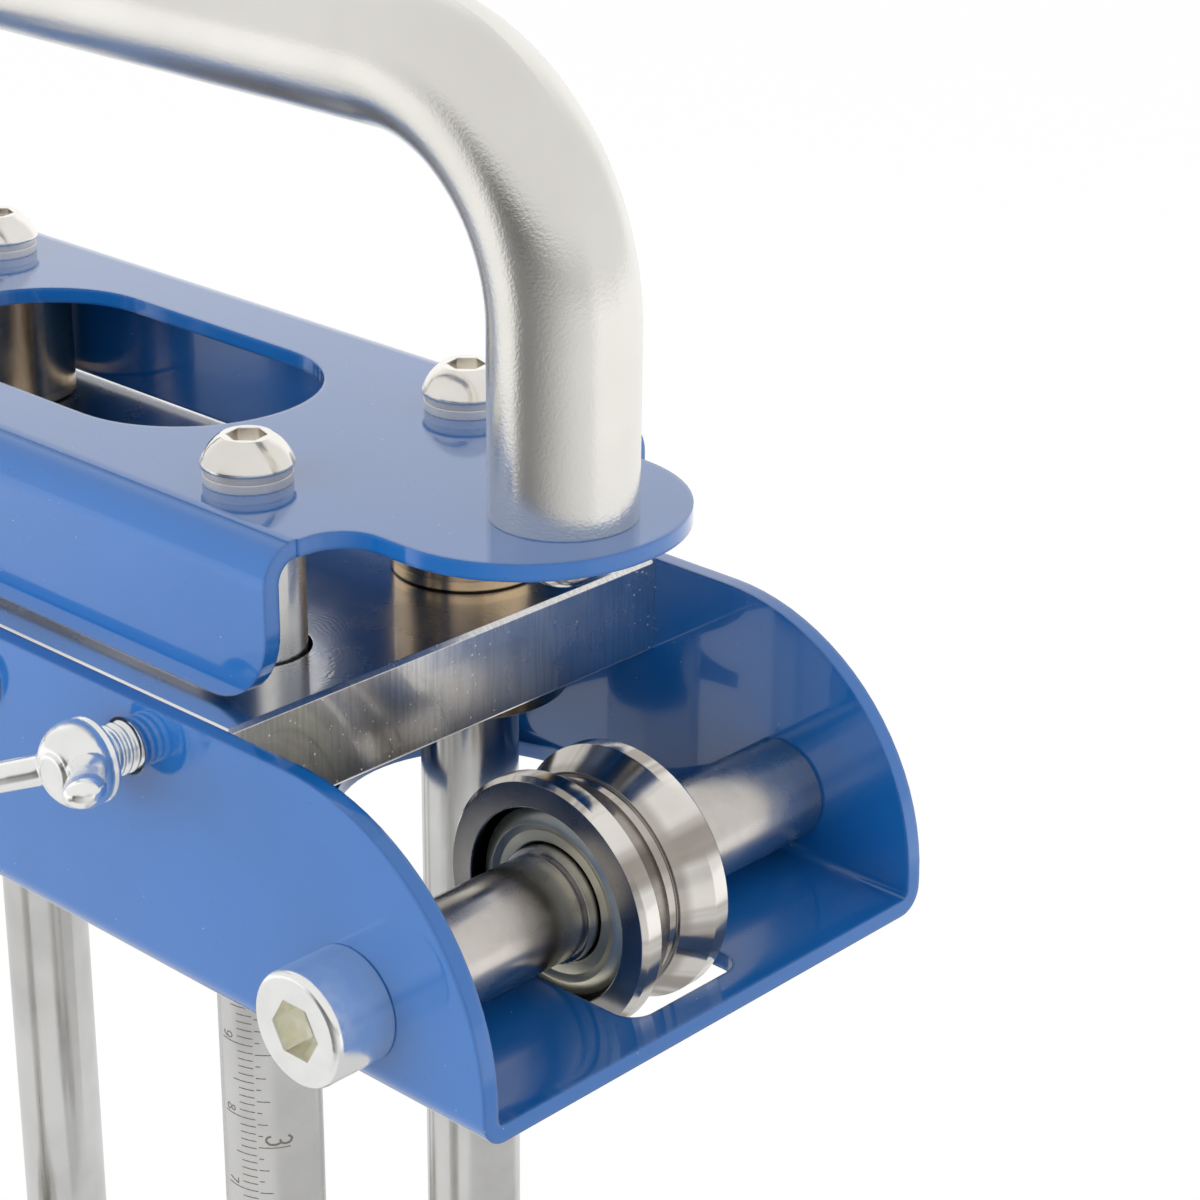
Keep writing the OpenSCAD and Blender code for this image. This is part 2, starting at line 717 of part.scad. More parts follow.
// A wheel with a V groove, its section turned about the axle
module groove_wheel(x) {
    outer_r = wheel_d / 2;
    bore_r = shield_d / 2;
    half_w = wheel_w / 2;
    floor_y = half_w - face_recess_depth;
    half_section = [
        [bore_r, floor_y], [face_recess_r, floor_y], [face_recess_r, half_w],
        [outer_r - wheel_bevel, half_w], [outer_r, half_w - wheel_bevel],
        [outer_r, groove_w / 2], [groove_r, relief_w / 2], [groove_r - relief_depth, relief_w / 2]
    ];
    color(ground_steel) translate([x, 0, axle_z]) rotate([90, 0, 0]) rotate_extrude()
        polygon(concat(half_section, mirrored_points(half_section)));
}

// The two dished shields of a wheel
module wheel_shields(x) {
    bore_r = inner_ring_d / 2 + turn_gap;
    edge_r = shield_d / 2 - press_gap;
    top_y = wheel_w / 2 - face_recess_depth;
    dish = shield_t / 2;
    half_section = [
        [bore_r, top_y - dish - shield_t], [edge_r, top_y - shield_t - dish],
        [edge_r, top_y], [edge_r - shield_t, top_y], [edge_r - 2 * shield_t, top_y - dish],
        [bore_r, top_y - dish]
    ];
    color(zinc) translate([x, 0, axle_z]) rotate([90, 0, 0]) rotate_extrude() {
        polygon(half_section);
        mirror([0, 1]) polygon(half_section);
    }
}

// A forged wing bolt with its axis along +Z, its hub's foot at z = 0
module wing_bolt_form(shank_l) {
    collar_h = wing_hub_h * collar_share;
    root_x = wing_hub_d * root_share;
    root_z = wing_hub_h / 2;
    tip_x = (wings_w - wing_w) / 2;
    tip_z = wing_h - wing_w / 2;
    lean = atan2(tip_z - root_z, tip_x - root_x);
    spread = (wing_w - wing_t) / 2;
    translate([0, 0, -shank_l]) cylinder(h = shank_l + collar_h, d = wing_screw_d);
    cylinder(h = collar_h, d = wing_hub_d);
    intersection() {
        cylinder(h = wing_hub_h, d = wing_hub_d);
        translate([0, 0, wing_hub_h / 2]) sphere(d = wing_hub_d);
    }
    for (side = [0, 1]) mirror([side, 0, 0]) hull() {
        translate([root_x, 0, root_z]) sphere(r = wing_w / 2, $fn = 24);
        for (way = [-1, 1]) {
            translate([tip_x + way * spread * sin(lean), 0, tip_z - way * spread * cos(lean)])
                sphere(r = wing_t / 2, $fn = 24);
        }
    }
}

module wing_bolt(x) {
    shank_l = wall_y + wing_standoff - rod_y - rod_d / 2 - turn_gap;
    color(zinc) translate([x, -wall_y - wing_standoff, block_mid_z]) rotate([90, 0, 0])
        rotate([0, 0, wing_turn]) wing_bolt_form(shank_l);
}

if (shown("top_cover")) top_cover();
if (shown("handle_bar")) handle_bar();
if (shown("handle_screws")) handle_screws();
if (shown("handle_washers")) handle_washers();
if (shown("handle_spring_washers")) handle_spring_washers();
if (shown("rod_screws")) rod_screws();
if (shown("rod_spring_washers")) rod_spring_washers();
if (shown("rod_washers")) rod_washers();
if (shown("scale_rod_right")) rod(rod_x, -rod_y);
if (shown("scale_rod_left")) rod(-rod_x, -rod_y);
if (shown("guide_rod_right")) rod(rod_x, rod_y);
if (shown("guide_rod_left")) rod(-rod_x, rod_y);
if (shown("roller_inner_rings")) roller_inner_rings();
if (shown("roller_washers")) roller_washers();
if (shown("roller_screws")) roller_screws();
if (shown("front_roller_right")) bending_roller(rod_x, -rod_y);
if (shown("front_roller_left")) bending_roller(-rod_x, -rod_y);
if (shown("back_roller_right")) bending_roller(rod_x, rod_y);
if (shown("back_roller_left")) bending_roller(-rod_x, rod_y);
if (shown("front_bearing_right")) roller_bearing(rod_x, -rod_y);
if (shown("front_bearing_left")) roller_bearing(-rod_x, -rod_y);
if (shown("back_bearing_right")) roller_bearing(rod_x, rod_y);
if (shown("back_bearing_left")) roller_bearing(-rod_x, rod_y);
if (shown("carriage_block")) carriage_block();
if (shown("carriage_channel")) carriage_channel();
if (shown("bush_right")) bush(rod_x);
if (shown("bush_left")) bush(-rod_x);
if (shown("channel_screws")) channel_screws();
if (shown("axle_bolt_right")) axle_bolt(axle_x);
if (shown("axle_bolt_left")) axle_bolt(-axle_x);
if (shown("axle_sleeves_right")) axle_sleeves(axle_x);
if (shown("axle_sleeves_left")) axle_sleeves(-axle_x);
if (shown("axle_washers")) axle_washers();
if (shown("axle_nuts")) axle_nuts();
if (shown("wheel_inner_ring_right")) wheel_inner_ring(axle_x);
if (shown("wheel_inner_ring_left")) wheel_inner_ring(-axle_x);
if (shown("groove_wheel_right")) groove_wheel(axle_x);
if (shown("groove_wheel_left")) groove_wheel(-axle_x);
if (shown("wheel_shields_right")) wheel_shields(axle_x);
if (shown("wheel_shields_left")) wheel_shields(-axle_x);
if (shown("wing_bolt_right")) wing_bolt(rod_x);
if (shown("wing_bolt_left")) wing_bolt(-rod_x);
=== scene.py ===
import math

import bmesh
import bpy
from mathutils import Matrix, Vector

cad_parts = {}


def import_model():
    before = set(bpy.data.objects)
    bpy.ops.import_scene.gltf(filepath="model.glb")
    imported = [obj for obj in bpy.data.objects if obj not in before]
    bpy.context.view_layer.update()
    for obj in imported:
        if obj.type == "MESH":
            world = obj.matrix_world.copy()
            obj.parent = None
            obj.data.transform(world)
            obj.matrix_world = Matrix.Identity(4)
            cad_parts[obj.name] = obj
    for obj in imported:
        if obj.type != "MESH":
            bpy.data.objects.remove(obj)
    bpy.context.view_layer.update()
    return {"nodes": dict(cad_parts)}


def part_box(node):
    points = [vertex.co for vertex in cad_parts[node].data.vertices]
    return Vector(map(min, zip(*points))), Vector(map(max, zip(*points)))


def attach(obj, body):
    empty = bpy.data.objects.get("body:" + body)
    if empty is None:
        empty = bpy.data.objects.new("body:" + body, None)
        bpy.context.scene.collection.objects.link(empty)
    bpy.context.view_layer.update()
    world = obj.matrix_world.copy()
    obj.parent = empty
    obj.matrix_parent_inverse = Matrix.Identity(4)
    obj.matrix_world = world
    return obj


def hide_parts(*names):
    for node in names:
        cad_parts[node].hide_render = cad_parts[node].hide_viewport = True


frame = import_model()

# Sheet metal edge bender. Everything is in metres, in the CAD frame: X along the sheet's edge,
# Y across it with the wing bolts on -Y, Z up, the ground at z = 0.

nodes = frame["nodes"]
MM = 0.001

# Places read off the CAD nodes
rod_low, rod_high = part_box("scale_rod_right")
ROD_R = (rod_high.x - rod_low.x) / 2
ROD_X = (rod_high.x + rod_low.x) / 2
ROD_Y = -(rod_high.y + rod_low.y) / 2
wheel_low, wheel_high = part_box("groove_wheel_right")
WHEEL_X = (wheel_low.x + wheel_high.x) / 2
WHEEL_Z = (wheel_low.z + wheel_high.z) / 2
WHEEL_R = (wheel_high.x - wheel_low.x) / 2
WHEEL_Y = wheel_high.y
# The recess in the wheels' faces, coloured near black as painted shade: its radius, and its floor's
# distance from the middle
RECESS_R = 11.45 * MM
RECESS_Y = 4.6 * MM
block_low, block_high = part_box("carriage_block")
WING_TIP_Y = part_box("wing_bolt_right")[1].y
WALL_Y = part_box("carriage_channel")[0].y
BLOCK_MID_Z = (block_low.z + block_high.z) / 2
sleeve_low, sleeve_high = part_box("axle_sleeves_right")
WALL_INSIDE_Y = sleeve_high.y
SLEEVE_R = (sleeve_high.x - sleeve_low.x) / 2
AXLE_R = 4.0 * MM
# The cap screws' outer faces, and the radius round their sockets
HEAD_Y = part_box("axle_bolt_right")[0].y
SOCKET_R = 3.7 * MM
# How far the wing bolts' hubs stand off the wall, and the angle of their wings, as in the CAD model
WING_STANDOFF = 4.3 * MM
WING_TURN = 18.0
# Where the scale reads 0, and where it ends
ZERO_Z = 18.5 * MM
SCALE_TOP = ZERO_Z + 130.0 * MM


# Materials

class Shader:
    """A material's node tree, with short calls for the nodes used here."""

    def __init__(self, name, tree=None):
        """Fills a new material, or the world's tree if one is given."""
        if tree is None:
            self.material = bpy.data.materials.new(name)
            self.material.use_nodes = True
        self.tree = tree or self.material.node_tree
        self.tree.nodes.clear()
        self.out = self.add("OutputWorld" if tree else "OutputMaterial")
        self.coords = self.add("TexCoord").outputs["Generated" if tree else "Object"]

    def add(self, kind, **settings):
        node = self.tree.nodes.new("ShaderNode" + kind)
        for key, value in settings.items():
            setattr(node, key, value)
        return node

    def put(self, socket, value):
        if isinstance(value, bpy.types.NodeSocket):
            self.tree.links.new(value, socket)
        elif isinstance(value, (tuple, list)) and len(value) == 3 and socket.type == "RGBA":
            socket.default_value = (*value, 1.0)
        else:
            socket.default_value = value

    def math(self, operation, a, b=0.0):
        node = self.add("Math", operation=operation)
        for socket, value in zip(node.inputs, (a, b)):
            self.put(socket, value)
        return node.outputs[0]

    def vmath(self, operation, a, b=(0.0, 0.0, 0.0)):
        node = self.add("VectorMath", operation=operation)
        self.put(node.inputs[0], a)
        self.put(node.inputs[1], b)
        return node.outputs["Value"] if operation in ("LENGTH", "DOT_PRODUCT") else node.outputs[0]

    def hypot(self, a, b):
        squares = self.math("ADD", self.math("MULTIPLY", a, a), self.math("MULTIPLY", b, b))
        return self.math("POWER", squares, 0.5)

    def axle_distance(self, place):
        """How far a place lies from the axle at its own end."""
        away_x = self.math("SUBTRACT", self.math("ABSOLUTE", place[0]), WHEEL_X)
        return self.hypot(away_x, self.math("SUBTRACT", place[2], WHEEL_Z))

    def true_normal(self):
        return self.add("NewGeometry").outputs["True Normal"]

    def ramp(self, value, low, high, from_value=0.0, to_value=1.0):
        node = self.add("MapRange", interpolation_type="SMOOTHSTEP")
        for socket, number in zip(node.inputs, (value, low, high, from_value, to_value)):
            self.put(socket, number)
        return node.outputs[0]

    def noise(self, scale, detail=3.0, roughness=0.55, coords=None, stretch=None, out="Fac"):
        coords = coords or self.coords
        if stretch:
            coords = self.vmath("MULTIPLY", coords, stretch)
        node = self.add("TexNoise")
        self.put(node.inputs["Vector"], coords)
        node.inputs["Scale"].default_value = scale
        node.inputs["Detail"].default_value = detail
        node.inputs["Roughness"].default_value = roughness
        return node.outputs[out]

    def dots(self, scale, size, share, coords=None):
        """Small round specks: 1 inside a speck, on the given share of the cells."""
        cells = self.add("TexVoronoi")
        self.put(cells.inputs["Vector"], coords or self.coords)
        cells.inputs["Scale"].default_value = scale
        near = self.ramp(cells.outputs["Distance"], size, size * 0.6)
        pick = self.add("SeparateColor")
        self.put(pick.inputs[0], cells.outputs["Color"])
        return self.math("MULTIPLY", near, self.math("LESS_THAN", pick.outputs[0], share))

    def mix(self, factor, a, b):
        node = self.add("Mix", data_type="RGBA")
        self.put(node.inputs[0], factor)
        self.put(node.inputs[6], a)
        self.put(node.inputs[7], b)
        return node.outputs[2]

    def xyz(self, vector):
        node = self.add("SeparateXYZ")
        self.put(node.inputs[0], vector)
        return node.outputs

    def soft_edges(self, radius):
        node = self.add("Bevel", samples=6)
        node.inputs["Radius"].default_value = radius
        return node.outputs[0]

    def bump(self, height, strength, distance, normal=None):
        node = self.add("Bump")
        self.put(node.inputs["Height"], height)
        node.inputs["Strength"].default_value = strength
        node.inputs["Distance"].default_value = distance
        if normal:
            self.put(node.inputs["Normal"], normal)
        return node.outputs[0]

    def rays(self):
        """The kinds of rays, and whether a ray comes from a reflection or through glass."""
        path = self.add("LightPath").outputs
        mirrored = self.math("MAXIMUM", path["Is Glossy Ray"], path["Is Transmission Ray"])
        return path, mirrored

    def finish(self, **sockets):
        shader = self.add("BsdfPrincipled")
        for name, value in sockets.items():
            self.put(shader.inputs[name.replace("_", " ")], value)
        self.put(self.out.inputs[0], shader.outputs[0])
        return self.material


def paint():
    """Glossy blue powder coat with dust specks in it, paler on the edges, partly where it thins and
    partly a painted highlight.
    """
    s = Shader("blue_paint")
    round_normal = s.soft_edges(0.75 * MM)
    flat_normal = s.true_normal()
    edge = s.ramp(s.vmath("DOT_PRODUCT", round_normal, flat_normal), 0.998, 0.86)
    cloud = s.ramp(s.noise(35.0, 3.0), 0.3, 0.7)
    crowd = s.ramp(s.noise(42.0, 2.0), 0.46, 0.66)
    lumps = s.vmath("ADD", s.coords, s.vmath("MULTIPLY", s.noise(2500.0, 1.0, out="Color"),
                                             (0.0003, 0.0003, 0.0003)))
    dirt = s.math("MAXIMUM", s.dots(430.0, 0.050, 0.60, lumps),
                  s.math("MULTIPLY", s.dots(800.0, 0.085, 0.55, lumps), crowd))
    pale = s.math("MAXIMUM", s.dots(390.0, 0.040, 0.30),
                  s.math("MULTIPLY", s.dots(700.0, 0.070, 0.30), crowd))
    colour = s.mix(cloud, (0.010, 0.138, 0.46), (0.013, 0.151, 0.50))
    # Paler blue on the rounded edges: partly thinner paint, partly a painted highlight.
    colour = s.mix(s.math("MULTIPLY", edge, 0.35), colour, (0.02, 0.17, 0.58))
    colour = s.mix(s.math("MULTIPLY", dirt, 0.85), colour, (0.015, 0.020, 0.045))
    colour = s.mix(s.math("MULTIPLY", pale, 0.65), colour, (0.60, 0.66, 0.78))
    rough = s.ramp(s.noise(120.0, 4.0), 0.3, 0.75, 0.09, 0.17)
    peel = s.noise(900.0, 2.0)
    height = s.math("ADD", peel, s.math("MULTIPLY", s.math("ADD", dirt, pale), 3.0))
    normal = s.bump(height, 0.05, 0.12 * MM, round_normal)
    return s.finish(Base_Color=colour, Roughness=rough, Normal=normal, IOR=1.5,
                    Coat_Weight=1.0, Coat_Roughness=0.03, Coat_IOR=1.5)


def metal(name, light, dark, rough, grain=0.0, grain_scale=800.0, stretch=None, edge_r=0.25,
          metallic=1.0, cloud_scale=60.0):
    """A bare or plated metal: two tones in clouds, uneven roughness, fine grain, softened edges."""
    s = Shader(name)
    cloud = s.ramp(s.noise(cloud_scale, 4.0), 0.32, 0.70)
    colour = s.mix(cloud, light, dark)
    fine = s.noise(grain_scale, 3.0, stretch=stretch)
    roughness = s.ramp(s.noise(cloud_scale * 3.0, 3.0), 0.3, 0.7, rough[0], rough[1])
    normal = s.soft_edges(edge_r * MM)
    if grain:
        normal = s.bump(fine, grain, 0.05 * MM, normal)
    return s.finish(Base_Color=colour, Metallic=metallic, Roughness=roughness, Normal=normal)


def block_metal():
    """Bright nickel plate: near mirror on top, satin on the ends, polished in arcs round the rods."""
    s = Shader("block_nickel")
    place = s.xyz(s.coords)
    normal_parts = s.xyz(s.true_normal())
    on_end = s.math("GREATER_THAN", s.math("ABSOLUTE", normal_parts[0]), 0.6)
    away_x = s.math("SUBTRACT", s.math("ABSOLUTE", place[0]), ROD_X)
    away_y = s.math("ADD", place[1], ROD_Y)
    radius = s.hypot(away_x, away_y)
    wobble = s.math("MULTIPLY", s.noise(140.0, 3.0), 6.0 * MM)
    rings = s.math("SINE", s.math("MULTIPLY", s.math("ADD", radius, wobble), 9000.0))
    arcs = s.math("MULTIPLY", rings, s.ramp(radius, 21.0 * MM, 8.0 * MM))
    arcs = s.math("MULTIPLY", arcs, s.ramp(s.noise(60.0, 2.0), 0.42, 0.6))
    arcs = s.math("MULTIPLY", arcs, s.math("SUBTRACT", 1.0, on_end))
    brushed = s.ramp(s.noise(2200.0, 2.0, stretch=(1.0, 1.0, 0.05)), 0.42, 0.62)
    brushed = s.math("MULTIPLY", brushed, on_end)
    crowd = s.ramp(s.noise(50.0, 2.0), 0.36, 0.52)
    spots = s.math("MAXIMUM", s.dots(420.0, 0.075, 0.50), s.dots(1100.0, 0.15, 0.60))
    spots = s.math("MULTIPLY", spots, s.math("ADD", s.math("MULTIPLY", on_end, 0.9), 0.1))
    spots = s.math("MULTIPLY", spots, crowd)
    scuffs = s.dots(260.0, 0.045, 0.22, s.vmath("MULTIPLY", s.coords, (1.0, 0.30, 1.0)))
    scuffs = s.math("MULTIPLY", scuffs, on_end)
    marks = s.math("MAXIMUM", spots, scuffs)
    colour = s.mix(s.ramp(s.noise(45.0, 4.0), 0.3, 0.7), (0.93, 0.92, 0.90), (0.78, 0.77, 0.75))
    colour = s.mix(on_end, colour, s.mix(s.noise(60.0, 3.0), (0.97, 0.96, 0.93), (0.80, 0.79, 0.77)))
    colour = s.mix(s.math("MULTIPLY", brushed, 0.35), colour, (0.50, 0.49, 0.47))
    colour = s.mix(marks, colour, (1.0, 1.0, 0.98))
    rough = s.math("ADD", s.ramp(s.noise(90.0, 4.0), 0.3, 0.7, 0.21, 0.30),
                   s.math("MULTIPLY", marks, 0.3))
    normal = s.bump(s.math("MULTIPLY", arcs, 0.8), 0.12, 0.03 * MM, s.soft_edges(0.15 * MM))
    bare = s.math("SUBTRACT", 1.0, s.math("MULTIPLY", marks, 0.7))
    return s.finish(Base_Color=colour, Metallic=bare, Roughness=rough, Normal=normal,
                    Coat_Weight=0.9, Coat_Roughness=0.05, Coat_IOR=2.1, Coat_Normal=normal)


def wheel_metal():
    """Ground bearing steel: grey faces, painted shade in the recess round the shields and in the
    groove, bright rims and flanks with painted radial highlights.
    """
    s = Shader("wheel_steel")
    place = s.xyz(s.coords)
    middle_x = s.math("MULTIPLY", s.math("SIGN", place[0]), WHEEL_X)
    join = s.add("CombineXYZ")
    s.put(join.inputs[0], middle_x)
    s.put(join.inputs[2], WHEEL_Z)
    wheel_middle = join.outputs[0]
    radius = s.axle_distance(place)
    normal_parts = s.xyz(s.true_normal())
    on_face = s.math("GREATER_THAN", s.math("ABSOLUTE", normal_parts[1]), 0.9)
    recess_shade = s.math("MULTIPLY", s.math("LESS_THAN", radius, RECESS_R + 0.05 * MM),
                       s.math("GREATER_THAN", s.math("ABSOLUTE", place[1]), RECESS_Y - 0.1 * MM))
    turned = s.noise(60.0, 2.0, coords=s.math("MULTIPLY", radius, 60.0))
    cloud = s.ramp(s.noise(70.0, 4.0), 0.35, 0.7)
    away = s.math("ABSOLUTE", place[1])
    groove = s.math("MULTIPLY", s.ramp(radius, 13.9 * MM, 13.2 * MM),
                    s.math("LESS_THAN", away, 3.0 * MM))
    # Painted highlights: radial bright and dark sectors on the rims and flanks, placed by direction
    # round the axle.
    painted_spoke_highlights = s.vmath("MULTIPLY", s.vmath("SUBTRACT", s.coords, wheel_middle), (1.0, 0.0, 1.0))
    painted_spoke_highlights = s.vmath("ADD", s.vmath("NORMALIZE", painted_spoke_highlights), (4.3, 0.0, 1.7))
    painted_spoke_highlights = s.noise(2.6, 3.0, coords=painted_spoke_highlights)
    bright = s.mix(s.ramp(painted_spoke_highlights, 0.44, 0.60), (0.90, 0.865, 0.81), (0.36, 0.325, 0.29))
    bright = s.mix(s.math("MULTIPLY", cloud, 0.35), bright, (0.55, 0.51, 0.47))
    # Painted shade: the groove's bottom is coloured darker.
    bright = s.mix(s.math("MULTIPLY", groove, 0.7), bright, (0.42, 0.38, 0.34))
    ground = s.mix(cloud, (0.36, 0.35, 0.34), (0.26, 0.25, 0.245))
    colour = s.mix(on_face, bright, ground)
    # Painted shade: the recess round the shields is coloured near black.
    colour = s.mix(recess_shade, colour, (0.012, 0.012, 0.013))
    rough = s.math("ADD", s.ramp(s.noise(200.0, 3.0), 0.3, 0.7, 0.12, 0.20),
                   s.math("MULTIPLY", on_face, 0.14))
    normal = s.bump(s.math("ADD", turned, s.noise(1500.0, 2.0)), 0.10, 0.03 * MM,
                    s.soft_edges(0.18 * MM))
    return s.finish(Base_Color=colour, Metallic=1.0, Roughness=rough, Normal=normal)


def bronze():
    """Oiled bronze with lengthwise streaks, a dark seam where it stands on the block, and a painted
    highlight on a rim just above it.
    """
    s = Shader("oiled_bronze")
    above = s.math("SUBTRACT", s.xyz(s.coords)[2], block_high.z)
    seam = s.math("MULTIPLY", s.ramp(above, 0.30 * MM, 0.18 * MM),
                  s.math("GREATER_THAN", above, -0.1 * MM))
    rim = s.math("MULTIPLY", s.ramp(above, 1.5 * MM, 1.3 * MM), s.ramp(above, 0.3 * MM, 0.5 * MM))
    cloud = s.ramp(s.noise(60.0, 4.0), 0.32, 0.70)
    streaks = s.noise(500.0, 3.0, stretch=(1.0, 1.0, 0.05))
    colour = s.mix(cloud, (0.62, 0.47, 0.31), (0.46, 0.34, 0.22))
    colour = s.mix(s.ramp(streaks, 0.45, 0.75), colour, (0.50, 0.39, 0.28))
    # Painted highlight: a paler gold band on the rim just above the seam.
    colour = s.mix(s.math("MULTIPLY", rim, 0.6), colour, (0.85, 0.62, 0.36))
    colour = s.mix(seam, colour, (0.025, 0.018, 0.012))
    rough = s.ramp(s.noise(180.0, 3.0), 0.3, 0.7, 0.16, 0.26)
    height = s.math("ADD", streaks, s.math("MULTIPLY", rim, -1.5))
    normal = s.bump(height, 0.15, 0.04 * MM, s.soft_edges(0.25 * MM))
    return s.finish(Base_Color=colour, Metallic=1.0, Roughness=rough, Normal=normal)


def cap_screw():
    """Zinc plate like the other fasteners', with painted pale yellow reflections and painted shade on
    the walls in the head's socket.
    """
    s = Shader("cap_screw_zinc")
    place = s.xyz(s.coords)
    radius = s.axle_distance(place)
    flat_y = s.xyz(s.true_normal())[1]
    below_face = s.math("GREATER_THAN", place[1], HEAD_Y + 0.05 * MM)
    in_socket = s.math("MULTIPLY", s.math("LESS_THAN", radius, SOCKET_R), below_face)
    on_wall = s.math("LESS_THAN", s.math("ABSOLUTE", flat_y), 0.5)
    # Painted reflections: pale yellow patches in the socket.
    socket_glint = s.ramp(s.noise(420.0, 2.0), 0.44, 0.56)
    socket_reflections = s.mix(socket_glint, (1.0, 1.0, 0.95), (0.93, 0.92, 0.82))
    # Painted shade: the socket's walls are coloured darker.
    socket_reflections = s.mix(s.math("MULTIPLY", on_wall, 0.20), socket_reflections, (0.72, 0.70, 0.58))
    plate = s.mix(s.ramp(s.noise(110.0, 4.0), 0.32, 0.70), (1.0, 1.0, 0.98), (0.90, 0.91, 0.89))
    rough = s.ramp(s.noise(330.0, 3.0), 0.3, 0.7, 0.12, 0.24)
    normal = s.bump(s.noise(900.0, 3.0), 0.16, 0.05 * MM, s.soft_edges(0.25 * MM))
    return s.finish(Base_Color=s.mix(in_socket, plate, socket_reflections), Metallic=0.92, Roughness=rough,
                    Normal=normal)


def engraving():
    """The scale's etched marks: dark grey-brown, a little uneven."""
    s = Shader("engraved_marks")
    colour = s.mix(s.noise(900.0, 3.0), (0.15, 0.14, 0.12), (0.30, 0.28, 0.25))
    return s.finish(Base_Color=colour, Roughness=0.55, Metallic=0.3)


PAINT = paint()
HANDLE = metal("satin_chrome", (0.87, 0.85, 0.80), (0.79, 0.77, 0.72), (0.17, 0.25),
               grain=0.60, grain_scale=2600.0, cloud_scale=28.0, metallic=0.88)
BUTTON = metal("button_steel", (0.97, 0.94, 0.89), (0.84, 0.81, 0.76), (0.10, 0.20), grain=0.06)
WASHER = metal("washer_steel", (0.98, 0.95, 0.90), (0.82, 0.79, 0.75), (0.42, 0.55), grain=0.30,
               grain_scale=1600.0, metallic=0.80)
SPRING = metal("spring_steel", (0.90, 0.87, 0.82), (0.68, 0.65, 0.61), (0.42, 0.55), grain=0.30,
               grain_scale=1600.0, metallic=0.80)
SCALE_ROD = metal("frosted_rod", (0.76, 0.755, 0.74), (0.66, 0.655, 0.64), (0.24, 0.32),
                  grain=0.12, stretch=(1.0, 1.0, 0.1))
GUIDE_ROD = metal("bright_rod", (0.76, 0.755, 0.74), (0.64, 0.635, 0.62), (0.14, 0.22),
                  grain=0.08, stretch=(1.0, 1.0, 0.1))
ROLLER = metal("roller_steel", (0.72, 0.71, 0.70), (0.60, 0.59, 0.58), (0.18, 0.28),
               grain=0.12, stretch=(0.2, 0.2, 3.0))
BEARING = metal("bearing_steel", (0.58, 0.57, 0.56), (0.44, 0.43, 0.425), (0.20, 0.30), grain=0.1)
SHIELD = metal("zinc_shield", (0.86, 0.83, 0.66), (0.62, 0.60, 0.47), (0.30, 0.44), grain=0.35,
               grain_scale=2000.0, edge_r=0.12, metallic=0.90)
BLOCK = block_metal()
BRONZE = bronze()
WHEEL = wheel_metal()
BOLT = metal("zinc_plate", (1.0, 1.0, 0.98), (0.90, 0.91, 0.89), (0.12, 0.24), grain=0.16,
             grain_scale=900.0, cloud_scale=110.0, metallic=0.92)
SLEEVE = metal("bare_sleeve", (0.74, 0.70, 0.65), (0.56, 0.52, 0.48), (0.22, 0.32), grain=0.14,
               stretch=(1.0, 0.08, 1.0), edge_r=0.1)
CAP_SCREW = cap_screw()
MARKS = engraving()

finishes = {
    "top_cover": PAINT, "carriage_channel": PAINT, "handle_bar": HANDLE,
    "rod_spring_washers": SPRING, "handle_spring_washers": SPRING, "carriage_block": BLOCK,
    "roller_inner_rings": BEARING,
}
for name in ("handle_screws", "rod_screws", "roller_screws", "channel_screws"):
    finishes[name] = BUTTON
for name in ("handle_washers", "rod_washers"):
    finishes[name] = WASHER
for name in ("axle_washers", "axle_nuts", "roller_washers"):
    finishes[name] = BOLT
for side in ("right", "left"):
    finishes.update({
        f"scale_rod_{side}": SCALE_ROD, f"guide_rod_{side}": GUIDE_ROD, f"bush_{side}": BRONZE,
        f"axle_bolt_{side}": CAP_SCREW, f"axle_sleeves_{side}": SLEEVE,
        f"wheel_inner_ring_{side}": BEARING, f"groove_wheel_{side}": WHEEL,
        f"wheel_shields_{side}": SHIELD, f"wing_bolt_{side}": BOLT,
    })
    for row in ("front", "back"):
        finishes[f"{row}_roller_{side}"] = ROLLER
        finishes[f"{row}_bearing_{side}"] = SHIELD
for name, node in nodes.items():
    node.data.materials.clear()
    node.data.materials.append(finishes[name])


# Floor, light and camera

def dark_stretch(s, way):
    """How dark the level direction is: with a clear edge on the left, fading out to the right."""
    side = s.vmath("DOT_PRODUCT", way, DARK_RIGHT)
    dark = s.math("MULTIPLY", s.ramp(side, -0.56, -0.30), s.ramp(side, 1.5, -0.1, 0.0, 0.97))
    return s.math("MULTIPLY", dark, s.ramp(s.vmath("DOT_PRODUCT", way, DARK_WAY), -0.05, 0.15))


